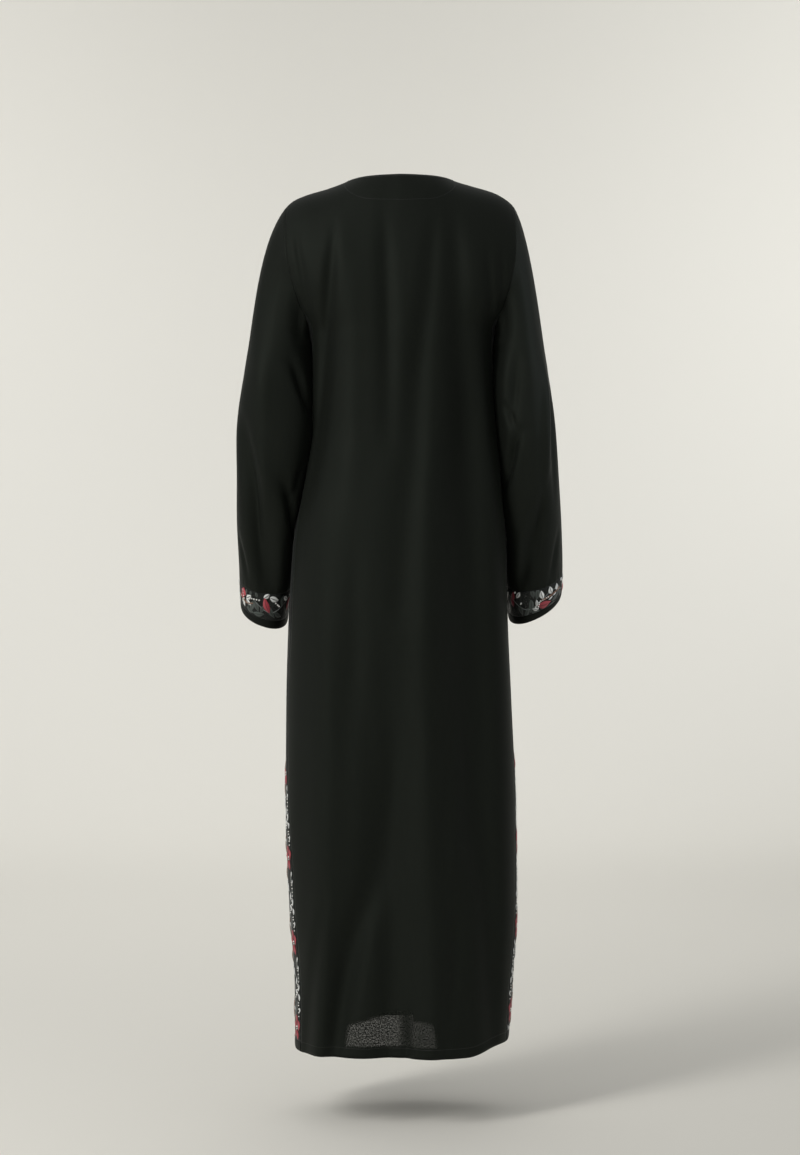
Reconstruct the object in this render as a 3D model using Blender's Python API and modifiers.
"""Embroidered abaya, worn: black crepe body and set-in sleeves, lace side panels and cuffs.

Metres, +Z up, the garment's front towards -Y and its own left towards +X.
The origin lies midway between the shoulders, at the height where the shoulder seams meet the neck.
Each piece of cloth is an open grid of points on the garment's surface, thickened inwards by Solidify.
"""

import math
from bisect import bisect_right
from collections import namedtuple

import bpy
import numpy as np

WALL = 0.0012  # thickness of one layer of cloth
SEAM_GAP = 0.0003  # between two pieces that are sewn together, within the wall
SEAM_SET_BACK = 0.0004  # of each edge's outer face, since the inner faces of a bend lie closer
LAYER_GAP = 0.0006  # between two layers that lie on each other

HEM_Z = -1.434  # side and back hem, a 56 inch abaya
FRONT_HEM_RISE = 0.022  # the front hem hangs higher than the back one
SIDE_HEM_RISE = {1: 0.001, -1: 0.015}  # the hem lifts a little at the left and right side
ARMHOLE_JOIN_Z = -0.215  # where the side panel's seams run into the armhole
UNDERARM_Z = -0.256
SHOULDER_TIP = 0.185  # half the distance between the shoulder tips
SHOULDER_SQUARENESS = 2.6  # roundness of the shoulders, seen from the side
SLEEVE_SQUARENESS = 2.2
FRONT_LAP = 0.028  # how far the right front lies over the left one
NECK_HALF_WIDTH = 0.089
BACK_NECK_Z = 0.004
FRONT_NECK_DROP = 0.078
LAP_RELEASE = 0.018  # over which the under front comes back to the surface
FACING_HALF_WIDTH = 0.140
FACING_SET_BACK = 0.0012  # from the neckline and the shoulder seam
CUFF_LACE_HEIGHT = 0.044
CUFF_BINDING_HEIGHT = 0.013
SIDE_HEM_HEIGHT = 0.016  # plain band below each lace side panel
ARMHOLE_GAP = 0.0006
UNDERARM_CLEARANCE = 0.0010  # the sleeve's side stands off the body under the arm
HEAD_LEAVES_TOP = (0.70, 0.0, -0.714)  # direction of the sleeve's cloth at the shoulder tip
HEAD_LEAVES_UNDERARM = (0.45, 0.0, -0.89)
HEAD_TURNS_IN = 0.55  # how far the head's cloth first runs on round the body, behind and before
HEAD_FULLNESS = {1: 0.8, -1: 0.5}  # how far the left and right sleeve heads stand out
HEAD_MEETS_SHARE = 0.03  # of the sleeve's length, which gives the direction that the head runs into
SIDE_SLANT = 0.20  # slope of the side and of the sleeve that lies along it, so that neither shows a gap behind
SIDE_SLANT_REACH = 0.056  # how far behind and before the middle plane the slant runs out

SEAM_BLEND = 0.10  # height over which the side seams bend into the armhole
SIDE_HEM_FROM = 0.62  # share of the half-width at which the hem starts to lift
FOLD_FADE = 0.05  # over which a fold runs out past its ends
EDGE_CALM = 8  # power by which folds die away towards a panel's side edge
SHOULDER_CALM = 4  # squareness by which folds die away towards the shoulder seam
CREASE_TAPER = 1.5  # power by which a crease thins towards its ends

BACK_COLUMNS = 29
FRONT_COLUMNS = 15
NECK_COLUMN_SHARE = 6 / 14  # the column that meets the corner of the neck
COLUMN_EVENNESS = 0.55  # the rest crowds the columns towards the rounded sides
SIDE_COLUMNS = 7
SIDE_EVENNESS = 0.4  # the rest crowds the side panel's columns towards its seams
LOWER_ROWS = 20
ROW_CROWDING = 0.86  # a power, less than 1, that brings rows closer together higher up
SHOULDER_ROWS = 9
HEAD_ROWS = 6
ROWS_PER_RING = 2
CUFF_ROWS = 3
BINDING_ROWS = 2
FACING_ROWS = 4

# Finish: colour, roughness and sheen
CREPE = ((0.011, 0.0115, 0.0105), 0.85, 0.15)
LACE = ((0.030, 0.034, 0.032), 0.70, 0.05)

# Level sections of the body: half-widths to the garment's left and right, depths behind and before
# the middle plane, and the squareness of the section's outline.
Section = namedtuple("Section", "z left right back front square")
BODY = [
    Section(-1.431, 0.174, 0.179, 0.140, 0.142, 2.9),
    Section(-1.330, 0.175, 0.187, 0.139, 0.138, 2.8),
    Section(-1.200, 0.184, 0.194, 0.138, 0.133, 2.7),
    Section(-1.030, 0.190, 0.192, 0.138, 0.129, 2.6),
    Section(-0.860, 0.189, 0.185, 0.139, 0.126, 2.5),
    Section(-0.720, 0.185, 0.179, 0.140, 0.122, 2.5),
    Section(-0.590, 0.1765, 0.1765, 0.137, 0.118, 2.5),
    Section(-0.480, 0.1585, 0.1700, 0.128, 0.117, 2.5),
    Section(-0.400, 0.1485, 0.1630, 0.121, 0.121, 2.5),
    Section(-0.310, 0.1490, 0.1580, 0.120, 0.125, 2.5),
    Section(-0.256, 0.1520, 0.1590, 0.122, 0.124, 2.5),
    Section(-0.215, 0.178, 0.185, 0.122, 0.120, 2.5),
    Section(-0.170, 0.212, 0.217, 0.120, 0.113, 2.6),
    Section(-0.115, 0.232, 0.235, 0.116, 0.104, 2.7),
    Section(-0.040, 0.232, 0.232, 0.110, 0.096, 2.7),
    Section(0.060, 0.226, 0.226, 0.108, 0.094, 2.7),
]

# Half-width at the armhole seam, to the left and right.
Armhole = namedtuple("Armhole", "z left right")
ARMHOLE = [
    Armhole(-0.256, 0.150, 0.157),
    Armhole(-0.215, 0.163, 0.170),
    Armhole(-0.170, 0.178, 0.183),
    Armhole(-0.115, 0.187, 0.190),
    Armhole(-0.070, 0.188, 0.189),
    Armhole(-0.040, 0.185, 0.185),
]

# Height of the shoulder line by distance from the middle, carried on above the neck opening.
Shoulder = namedtuple("Shoulder", "x left right")
SHOULDER = [
    Shoulder(0.000, 0.034, 0.034),
    Shoulder(0.050, 0.021, 0.023),
    Shoulder(0.089, -0.001, 0.001),
    Shoulder(0.118, -0.012, -0.008),
    Shoulder(0.155, -0.023, -0.019),
    Shoulder(0.174, -0.031, -0.029),
    Shoulder(0.185, -0.039, -0.038),
    Shoulder(0.215, -0.058, -0.058),
]

# Where the side panels' seams lie, as shares of the half-width: with the back, at the garment's left
# and right, and with the front. The crepe of the back twists round towards the sides in between.
Seam = namedtuple("Seam", "z left right front")
SIDE_SEAM = [
    Seam(-1.431, 0.930, 0.966, 0.935),
    Seam(-1.340, 0.928, 0.957, 0.930),
    Seam(-1.240, 0.935, 0.972, 0.920),
    Seam(-1.140, 0.940, 0.984, 0.910),
    Seam(-0.990, 0.970, 0.990, 0.900),
    Seam(-0.860, 0.984, 0.990, 0.895),
    Seam(-0.745, 0.962, 0.990, 0.890),
    Seam(-0.600, 0.972, 0.986, 0.890),
    Seam(-0.400, 0.980, 0.980, 0.890),
    Seam(-0.300, 0.936, 0.936, 0.915),
    Seam(-0.215, 0.926, 0.926, 0.926),
]

# How much of the slant the side has at each height, where the sleeve lies along it.
Slant = namedtuple("Slant", "z share")
SLANT = [
    Slant(-0.560, 0.0),
    Slant(-0.470, 1.0),
    Slant(-0.350, 1.0),
    Slant(-0.256, 0.0),
]

# Folds run down the cloth: at three heights, from the top down, their place across, half-width and depth.
# A negative depth is a ridge that stands proud.
Fold = namedtuple("Fold", "heights xs widths depths")
BACK_FOLDS = [
    Fold((-0.09, -0.30, -0.52), (0.035, 0.041, 0.038), (0.007, 0.012, 0.018), (0.003, 0.005, 0.000)),
    Fold((-0.06, -0.36, -0.56), (-0.043, -0.010, -0.018), (0.012, 0.022, 0.020), (0.002, 0.007, 0.003)),
    Fold((-0.07, -0.50, -1.43), (-0.095, -0.110, -0.128), (0.014, 0.016, 0.022), (0.003, 0.011, 0.015)),
    Fold((-0.12, -0.38, -0.56), (0.118, 0.132, 0.150), (0.012, 0.016, 0.014), (0.003, 0.007, 0.001)),
    Fold((-0.08, -0.30, -0.48), (-0.158, -0.150, -0.160), (0.010, 0.010, 0.010), (0.003, 0.004, 0.001)),
    Fold((-0.62, -1.10, -1.43), (0.045, 0.058, 0.088), (0.020, 0.026, 0.030), (0.000, 0.009, 0.014)),
    Fold((-0.50, -1.00, -1.43), (0.118, 0.122, 0.132), (0.026, 0.026, 0.024), (0.000, -0.007, -0.009)),
    Fold((-0.45, -1.00, -1.43), (-0.040, -0.046, -0.062), (0.030, 0.032, 0.034), (0.000, -0.008, -0.012)),
    Fold((-0.90, -1.20, -1.43), (0.010, 0.012, 0.016), (0.022, 0.028, 0.030), (0.000, 0.007, 0.013)),
]
FRONT_FOLDS = [
    Fold((-0.20, -0.42, -0.80), (0.075, 0.070, 0.074), (0.012, 0.022, 0.024), (0.001, 0.008, 0.005)),
    Fold((-0.20, -0.45, -0.80), (-0.078, -0.072, -0.080), (0.012, 0.020, 0.024), (0.001, 0.007, 0.005)),
    Fold((-0.60, -1.05, -1.43), (0.060, 0.072, 0.084), (0.020, 0.026, 0.028), (0.000, 0.010, 0.015)),
    Fold((-0.55, -1.05, -1.43), (-0.056, -0.066, -0.090), (0.020, 0.026, 0.028), (0.000, 0.010, 0.014)),
    Fold((-0.55, -1.05, -1.43), (0.118, 0.124, 0.130), (0.020, 0.024, 0.026), (0.000, -0.006, -0.009)),
    Fold((-0.60, -1.05, -1.43), (-0.118, -0.126, -0.134), (0.020, 0.024, 0.026), (0.000, -0.006, -0.010)),
    Fold((-0.50, -1.00, -1.43), (0.024, 0.028, 0.036), (0.018, 0.022, 0.022), (0.000, -0.005, -0.008)),
    Fold((-0.52, -1.00, -1.43), (-0.024, -0.030, -0.040), (0.018, 0.022, 0.022), (0.000, -0.005, -0.007)),
]

# Sections across the sleeves: the arm's middle, half-width across, half-depth, and how far the section
# tips forward and outward in degrees. The last one is the sleeve's edge.
Ring = namedtuple("Ring", "x y z across deep tilt roll")
LEFT_SLEEVE = [
    Ring(0.2023, 0.008, -0.285, 0.0512, 0.066, 0, 0),
    Ring(0.2078, 0.012, -0.350, 0.0570, 0.064, 2, 0),
    Ring(0.2105, 0.012, -0.410, 0.0605, 0.062, 6, 0),
    Ring(0.2165, 0.000, -0.490, 0.0551, 0.063, 14, 0),
    Ring(0.2243, -0.024, -0.570, 0.0485, 0.063, 20, 1),
    Ring(0.2272, -0.054, -0.645, 0.0438, 0.061, 22, 6),
    Ring(0.2303, -0.084, -0.7160, 0.0417, 0.060, 24, 18),
]
RIGHT_SLEEVE = [
    Ring(0.2004, 0.010, -0.285, 0.0402, 0.072, 0, 0),
    Ring(0.2059, 0.014, -0.350, 0.0456, 0.071, 2, 0),
    Ring(0.2115, 0.014, -0.410, 0.0463, 0.070, 6, 0),
    Ring(0.2183, 0.002, -0.490, 0.0458, 0.067, 14, 2),
    Ring(0.2232, -0.022, -0.570, 0.0470, 0.064, 20, 5),
    Ring(0.2268, -0.050, -0.640, 0.0472, 0.061, 24, 9),
    Ring(0.2286, -0.078, -0.7020, 0.0496, 0.059, 26, 25),
]

# Creases along a sleeve: angle round it (0 outside, 90 behind), start and end as shares of its length,
# half-width in degrees and depth.
Crease = namedtuple("Crease", "angles ends width depth")
LEFT_CREASES = [
    Crease((128, 165), (0.16, 0.40), 14, 0.006),
    Crease((120, 150), (0.55, 0.74), 13, 0.005),
    Crease((40, 112), (0.52, 0.92), 12, 0.006),
    Crease((250, 205), (0.30, 0.62), 16, 0.006),
    Crease((300, 262), (0.55, 0.90), 15, 0.005),
]
RIGHT_CREASES = [
    Crease((62, 78), (0.16, 0.42), 14, -0.004),
    Crease((105, 158), (0.44, 0.60), 13, 0.006),
    Crease((62, 118), (0.52, 0.84), 12, 0.006),
    Crease((245, 205), (0.26, 0.55), 16, 0.006),
    Crease((305, 258), (0.50, 0.88), 15, 0.005),
]


def smooth_between(xs, ys, x):
    """Value at x on the smooth curve through the points, with no overshoot, level past its two ends."""
    if x <= xs[0]:
        return ys[0]
    if x >= xs[-1]:
        return ys[-1]
    slopes = [(b - a) / (q - p) for p, q, a, b in zip(xs, xs[1:], ys, ys[1:])]
    bends = [slopes[0]]
    for one, two in zip(slopes, slopes[1:]):
        bends.append(0.0 if one * two <= 0 else 2 * one * two / (one + two))
    bends.append(slopes[-1])
    i = bisect_right(xs, x) - 1
    run = xs[i + 1] - xs[i]
    t = (x - xs[i]) / run
    rise = ys[i + 1] - ys[i]
    a = bends[i] * run - rise
    b = rise - bends[i + 1] * run
    return ys[i] + t * rise + t * (1 - t) * (a * (1 - t) + b * t)


def read(table, column, x, by="z"):
    """One column of a table at x, smooth between its rows."""
    xs = [getattr(row, by) for row in table]
    return smooth_between(xs, [getattr(row, column) for row in table], x)


def half_width(z, side):
    return read(BODY, "left" if side > 0 else "right", z)


def superellipse(share, square):
    """The other coordinate of a squared ellipse, both as shares of its half-axes."""
    return max(0.0, 1 - min(1.0, abs(share)) ** square) ** (1 / square)


def ridge_z(x):
    """Height of the shoulder line over x."""
    return read(SHOULDER, "left" if x > 0 else "right", abs(x), by="x")


def rise_share(x, z):
    """0 below the shoulders, 1 on the shoulder line over x."""
    top = ridge_z(x)
    return min(1.0, max(0.0, (z - ARMHOLE_JOIN_Z) / (top - ARMHOLE_JOIN_Z)))


def fold_depth(folds, x, z):
    """How far the folds draw the cloth in at a point."""
    total = 0.0
    for fold in folds:
        heights = fold.heights[::-1]
        past = max(0.0, heights[0] - z, z - heights[-1])
        fade = max(0.0, 1 - past / FOLD_FADE)
        middle = smooth_between(heights, fold.xs[::-1], z)
        width = smooth_between(heights, fold.widths[::-1], z)
        depth = smooth_between(heights, fold.depths[::-1], z)
        total += depth * fade * math.exp(-(((x - middle) / width) ** 2))
    return total


def body_depth(x, z, behind):
    """Distance of the cloth from the middle plane, behind or before the wearer, without folds."""
    side = half_width(z, x)
    depth = read(BODY, "back" if behind else "front", z)
    square = read(BODY, "square", z)
    return depth * superellipse(x / side, square) * superellipse(rise_share(x, z), SHOULDER_SQUARENESS)


def seam_x(z, side, behind):
    column = ("left" if side > 0 else "right") if behind else "front"
    return side * half_width(z, side) * read(SIDE_SEAM, column, z)


def armhole_x(z, side):
    return side * read(ARMHOLE, "left" if side > 0 else "right", z)


def edge_x(z, side, behind):
    """Where a back or front panel ends at a height: at its side seam, then at the armhole."""
    if z <= ARMHOLE_JOIN_Z:
        blend = min(1.0, (ARMHOLE_JOIN_Z - z) / SEAM_BLEND)
        low = seam_x(z, side, behind)
        joined = low + armhole_x(ARMHOLE_JOIN_Z, side) - seam_x(ARMHOLE_JOIN_Z, side, behind)
        return blend * low + (1 - blend) * joined
    return armhole_x(z, side)


def slanted(y, z):
    """How far the side leans outward before the middle plane, and inward (below 0) behind it."""
    reach = max(0.0, 1 - (y / SIDE_SLANT_REACH) ** 2) ** 2
    return -SIDE_SLANT * y * reach * read(SLANT, "share", z)


def panel_point(x, z, behind, edge_share):
    """A point of the back or a front, with its folds, which die away towards the side edges."""
    folds = BACK_FOLDS if behind else FRONT_FOLDS
    calm = max(0.0, 1 - abs(edge_share) ** EDGE_CALM) * superellipse(rise_share(x, z), SHOULDER_CALM)
    y = body_depth(x, z, behind) - calm * fold_depth(folds, x, z)
    y = y if behind else -y
    return (x + (slanted(y, z) if x > 0 else -slanted(y, z)), y, z)


def neckline_z(x, behind):
    share = min(1.0, abs(x) / NECK_HALF_WIDTH)
    point = ridge_z(math.copysign(NECK_HALF_WIDTH, x))
    if behind:
        return point + (BACK_NECK_Z - point) * (1 - share**2)
    return point - FRONT_NECK_DROP * math.cos(share * math.pi / 2)


def top_z(x, behind):
    """The panel's upper edge: the neckline, then the shoulder seam."""
    if abs(x) < NECK_HALF_WIDTH:
        return neckline_z(x, behind)
    return ridge_z(x)


def shoulder_z(x, share, behind):
    """Height at a share of the way from the armhole's join up to the top edge, spaced evenly round it."""
    ridge = ridge_z(x)
    reach = (top_z(x, behind) - ARMHOLE_JOIN_Z) / (ridge - ARMHOLE_JOIN_Z)
    full = math.asin(min(1.0, reach) ** (SHOULDER_SQUARENESS / 2))
    lift = math.sin(share * full) ** (2 / SHOULDER_SQUARENESS)
    return ARMHOLE_JOIN_Z + (ridge - ARMHOLE_JOIN_Z) * lift


def hem_z(x_share, side, behind):
    """Height of the hem, rising a little at the sides and towards the middle of the front."""
    turn = min(1.0, max(0.0, (x_share - SIDE_HEM_FROM) / (1 - SIDE_HEM_FROM)))
    low = HEM_Z + SIDE_HEM_RISE[side] * turn * turn * (3 - 2 * turn)
    if behind:
        return low
    return low + FRONT_HEM_RISE * max(0.0, 1 - x_share**2)


def row_share(j):
    """Share of the way up from the hem to the armhole's join."""
    return (j / LOWER_ROWS) ** ROW_CROWDING


def spread(share):
    """Column places across a panel, closer together towards the rounded sides."""
    return COLUMN_EVENNESS * share + (1 - COLUMN_EVENNESS) * math.sin(share * math.pi / 2)


def column_x(share, start, edge, lift):
    """Place of a column between the panel's start and its side edge.

    Below the armhole the columns are spread evenly (lift 0); at the top (lift 1) one of them
    meets the corner of the neck and its neighbours crowd towards it.
    """
    even = start + (edge - start) * spread(share)
    corner = math.copysign(NECK_HALF_WIDTH, edge)
    if share <= NECK_COLUMN_SHARE:
        fitted = start + (corner - start) * math.sin(share / NECK_COLUMN_SHARE * math.pi / 2)
    else:
        fitted = corner + (edge - corner) * (share - NECK_COLUMN_SHARE) / (1 - NECK_COLUMN_SHARE)
    return even + (fitted - even) * lift


def panel_grid(shares, free, behind):
    """Rows of points from the hem up to the neckline and shoulder seam.

    Each column is a share of the way from the panel's middle, or its free edge, to one side.
    """
    rows = []
    for j in range(LOWER_ROWS + SHOULDER_ROWS + 1):
        low = row_share(min(j, LOWER_ROWS))
        high = max(0.0, (j - LOWER_ROWS) / SHOULDER_ROWS)
        row = []
        for share, side in shares:
            if high > 0:
                z_side = shoulder_z(side * SHOULDER_TIP, high, behind)
                edge = armhole_x(z_side, side)
                x = column_x(share, free, edge, high)
                z = shoulder_z(x, high, behind)
            else:
                start = hem_z(1.0, side, behind)
                edge = edge_x(start + low * (ARMHOLE_JOIN_Z - start), side, behind)
                x = column_x(share, free, edge, 0.0)
                start = hem_z(abs(x / edge), side, behind)
                z = start + low * (ARMHOLE_JOIN_Z - start)
            row.append(panel_point(x, z, behind, x / edge))
        rows.append(row)
    return np.array(rows)


def side_grid(side):
    """The side panel: columns from its back seam round to its front seam, rows from the hem to the armhole."""
    columns = []
    for i in range(SIDE_COLUMNS):
        share = i / (SIDE_COLUMNS - 1)
        across = SIDE_EVENNESS * share + (1 - SIDE_EVENNESS) * (1 - math.cos(math.pi * share)) / 2
        dip = math.sqrt(max(0.0, 1 - (2 * across - 1) ** 2))
        top = ARMHOLE_JOIN_Z + (UNDERARM_Z - ARMHOLE_JOIN_Z) * dip
        column = []
        hem = hem_z(1.0, side, True)
        for j in range(LOWER_ROWS + 1):
            level = hem + row_share(j) * (ARMHOLE_JOIN_Z - hem)
            z = hem + row_share(j) * (top - hem)
            back = body_depth(edge_x(level, side, True), level, True)
            front = -body_depth(edge_x(level, side, False), level, False)
            y = back + (front - back) * across
            depth = read(BODY, "back" if y > 0 else "front", z)
            reach = side * half_width(z, side) * superellipse(y / depth, read(BODY, "square", z))
            seam = {0: edge_x(level, side, True), SIDE_COLUMNS - 1: edge_x(level, side, False)}
            column.append((seam.get(i, reach) + side * slanted(y, z), y, z))
        columns.append(column)
    return np.array(columns).transpose(1, 0, 2)


def drawn_back(points, first=0.0, last=0.0, bottom=0.0, top=0.0):
    """The grid with its edges moved back along its own cloth, which leaves the gap at the seams."""
    for axis, near, far in ((1, first, last), (0, bottom, top)):
        lines = np.moveaxis(points, axis, 0).copy()
        for edge, inner, gap in ((0, 1, near), (-1, -2, far)):
            step = lines[inner] - lines[edge]
            length = np.maximum(np.linalg.norm(step, axis=1, keepdims=True), 1e-9)
            lines[edge] += step / length * gap
        points = np.moveaxis(lines, 0, axis)
    return points


def normals_of(points):
    """Unit normals of a grid, from its own columns and rows."""
    across = np.gradient(points, axis=1)
    up = np.gradient(points, axis=0)
    normal = np.cross(across, up)
    return normal / np.maximum(np.linalg.norm(normal, axis=2, keepdims=True), 1e-12)


def tucked_under(points, side):
    """The lapped strip of the left front, moved inwards by a layer of cloth and a little air."""
    moved = points.copy()
    fade = np.clip((FRONT_LAP / 2 + LAP_RELEASE - side * points[:, :, 0]) / LAP_RELEASE, 0, 1)
    moved[:, :, 1] += (WALL + LAYER_GAP) * fade * fade * (3 - 2 * fade)
    return moved


def armhole_loop(back, front, side_panel, side):
    """The armhole's points from the shoulder tip, down behind, under the arm and up before."""
    column = -1 if side > 0 else 0
    behind = back[LOWER_ROWS:, column][::-1]
    before = front[LOWER_ROWS:, -1]
    return np.concatenate([behind, side_panel[-1, 1:-1], before[:-1]])


def loop_angles(loop):
    """Degrees round the sleeve for each point of the armhole: 0 at the tip, 180 under the arm."""
    steps = np.linalg.norm(np.diff(np.vstack([loop, loop[:1]]), axis=0), axis=1)
    along = np.concatenate([[0.0], np.cumsum(steps)])
    lowest = SHOULDER_ROWS + (SIDE_COLUMNS - 1) // 2
    angles = []
    for i in range(len(loop)):
        if i <= lowest:
            angles.append(180 * along[i] / along[lowest])
        else:
            angles.append(180 + 180 * (along[i] - along[lowest]) / (along[-1] - along[lowest]))
    return angles


def crease_depth(creases, angle, share):
    """How far the creases draw the sleeve in, at an angle round it and a share of its length."""
    total = 0.0
    for crease in creases:
        start, end = crease.ends
        if not start < share < end:
            continue
        t = (share - start) / (end - start)
        middle = crease.angles[0] + (crease.angles[1] - crease.angles[0]) * t
        off = (angle - middle + 180) % 360 - 180
        taper = math.sin(math.pi * t) ** CREASE_TAPER
        total += crease.depth * taper * math.exp(-((off / crease.width) ** 2))
    return total


def ring_point(rings, side, creases, angle, share):
    """A point of the sleeve below the underarm, share 0 to 1 from the first section to the last."""
    places = [k / (len(rings) - 1) for k in range(len(rings))]
    values = [smooth_between(places, [ring[c] for ring in rings], share) for c in range(len(Ring._fields))]
    x, y, z, across, deep, tilt, roll = values
    draw = crease_depth(creases, angle, share)
    turn = math.radians(angle)
    square = 2 / SLEEVE_SQUARENESS
    out = (across - draw) * math.copysign(abs(math.cos(turn)) ** square, math.cos(turn))
    rear = (deep - draw) * math.copysign(abs(math.sin(turn)) ** square, math.sin(turn))
    tip, bank = math.radians(tilt), math.radians(roll)
    y += rear * math.cos(tip)
    z += out * math.sin(bank) - rear * math.sin(tip)
    inner = max(0.0, -math.cos(turn))
    return (side * (x + out * math.cos(bank) + inner * slanted(y, z)), y, z)


def head_point(start, end, onward, angle, share, side):
    """A point of the sleeve head, on a smooth path from the armhole to the first section of the sleeve."""
    under = (1 - math.cos(math.radians(angle))) / 2
    leave = np.array(HEAD_LEAVES_TOP) * (1 - under) + np.array(HEAD_LEAVES_UNDERARM) * under
    behind = math.sin(math.radians(angle))
    leave[1] -= HEAD_TURNS_IN * behind * abs(behind)
    leave = leave / np.linalg.norm(leave) * (side, 1, 1)
    reach = np.linalg.norm(end - start) * HEAD_FULLNESS[side]
    t = share
    from_start = (2 * t**3 - 3 * t**2 + 1) * start + (t**3 - 2 * t**2 + t) * reach * leave
    to_end = (3 * t**2 - 2 * t**3) * end + (t**3 - t**2) * reach * onward
    return from_start + to_end


def sleeve_grids(loop, side):
    """Rows round the sleeve, the lace band and the binding, each from its upper edge down."""
    rings = LEFT_SLEEVE if side > 0 else RIGHT_SLEEVE
    creases = LEFT_CREASES if side > 0 else RIGHT_CREASES
    angles = loop_angles(loop)
    first = np.array([ring_point(rings, side, creases, angle, 0.0) for angle in angles])
    under = np.array([(1 - math.cos(math.radians(angle))) / 2 for angle in angles])
    start = loop + under[:, None] * np.array((side * UNDERARM_CLEARANCE, 0.0, 0.0))
    second = np.array([ring_point(rings, side, creases, angle, HEAD_MEETS_SHARE) for angle in angles])
    onward = (second - first) / np.linalg.norm(second - first, axis=1, keepdims=True)
    rows = []
    for j in range(HEAD_ROWS):
        ends = zip(start, first, onward, angles)
        rows.append([head_point(*end, j / HEAD_ROWS, side) for end in ends])
    middles = [np.array((ring.x, ring.y, ring.z)) for ring in rings]
    length = sum(np.linalg.norm(b - a) for a, b in zip(middles, middles[1:]))
    lace_top = 1 - (CUFF_LACE_HEIGHT + CUFF_BINDING_HEIGHT) / length
    lace_end = 1 - CUFF_BINDING_HEIGHT / length
    steps = ROWS_PER_RING * (len(rings) - 1)
    cuts = [
        [lace_top * j / steps for j in range(steps + 1)],
        [lace_top + (lace_end - lace_top) * j / CUFF_ROWS for j in range(CUFF_ROWS + 1)],
        [lace_end + (1 - lace_end) * j / BINDING_ROWS for j in range(BINDING_ROWS + 1)],
    ]
    grids = []
    for cut in cuts:
        grids.append([[ring_point(rings, side, creases, angle, share) for angle in angles] for share in cut])
    sleeve = drawn_back(np.array(rows + grids[0]), bottom=ARMHOLE_GAP, top=SEAM_GAP)
    lace = drawn_back(np.array(grids[1]), top=SEAM_GAP)
    return sleeve, lace, np.array(grids[2])


def facing_grid(back):
    """The facing behind the back neck: the back's own points, moved in by a layer of cloth and air."""
    moved = back + normals_of(back) * (WALL + LAYER_GAP)
    spans = np.abs(back[-1, :, 0]) <= FACING_HALF_WIDTH
    return drawn_back(moved[-FACING_ROWS:, spans], top=FACING_SET_BACK)


def principled(name, color, roughness, sheen):
    material = bpy.data.materials.new(name)
    material.use_nodes = True
    shader = material.node_tree.nodes["Principled BSDF"]
    shader.inputs["Base Color"].default_value = (*color, 1.0)
    shader.inputs["Roughness"].default_value = roughness
    shader.inputs["Metallic"].default_value = 0.0
    shader.inputs["Sheen Weight"].default_value = sheen
    return material


def cloth(name, points, collection, finish, outward=True, tube=False):
    """A piece of cloth: a grid of points on its outer face, made a wall on the inner side."""
    rows, columns = points.shape[:2]
    wraps = columns if tube else columns - 1
    faces = []
    for j in range(rows - 1):
        for i in range(wraps):
            k = (i + 1) % columns
            face = (j * columns + i, j * columns + k, (j + 1) * columns + k, (j + 1) * columns + i)
            faces.append(face if outward else face[::-1])
    mesh = bpy.data.meshes.new(name)
    mesh.from_pydata([tuple(p) for p in points.reshape(-1, 3)], [], faces)
    mesh.shade_smooth()
    mesh.materials.append(principled(name, *finish))
    piece = bpy.data.objects.new(name, mesh)
    collection.objects.link(piece)
    wall = piece.modifiers.new("Wall", "SOLIDIFY")
    wall.thickness = WALL
    wall.offset = -1.0
    wall.use_even_offset = True
    wall.use_rim = True
    return piece


def main():
    for old in list(bpy.data.objects):
        bpy.data.objects.remove(old, do_unlink=True)
    abaya = bpy.data.collections.new("Abaya")
    bpy.context.scene.collection.children.link(abaya)

    half = BACK_COLUMNS // 2
    both = [(abs(i) / half, 1 if i > 0 else -1) for i in range(-half, half + 1)]
    back = panel_grid(both, 0.0, True)
    cloth("back", drawn_back(back, SEAM_SET_BACK, SEAM_SET_BACK, top=SEAM_SET_BACK), abaya, CREPE, outward=False)
    cloth("neck_facing", facing_grid(back), abaya, CREPE, outward=False)

    for side, word in ((1, "left"), (-1, "right")):
        one = [(i / (FRONT_COLUMNS - 1), side) for i in range(FRONT_COLUMNS)]
        front = panel_grid(one, -side * FRONT_LAP / 2, False)
        worn = tucked_under(front, side) if side > 0 else front
        cloth(f"front_{word}", drawn_back(worn, last=SEAM_SET_BACK, top=SEAM_SET_BACK), abaya, CREPE,
              outward=side > 0)

        panel = side_grid(side)
        above_hem = panel.copy()
        share = SIDE_HEM_HEIGHT / (panel[1, :, 2] - panel[0, :, 2])
        above_hem[0] = panel[0] + (panel[1] - panel[0]) * share[:, None]
        lace = drawn_back(above_hem, SEAM_SET_BACK, SEAM_SET_BACK, bottom=SEAM_GAP)
        cloth(f"side_panel_{word}", lace, abaya, LACE, outward=side < 0)
        hem = drawn_back(np.array([panel[0], above_hem[0]]), SEAM_SET_BACK, SEAM_SET_BACK)
        cloth(f"side_hem_{word}", hem, abaya, CREPE, outward=side < 0)

        loop = armhole_loop(back, front, panel, side)
        sleeve, cuff, binding = sleeve_grids(loop, side)
        cloth(f"sleeve_{word}", sleeve, abaya, CREPE, outward=side < 0, tube=True)
        cloth(f"cuff_lace_{word}", cuff, abaya, LACE, outward=side < 0, tube=True)
        cloth(f"cuff_binding_{word}", binding, abaya, CREPE, outward=side < 0, tube=True)


if __name__ == "__main__":
    main()
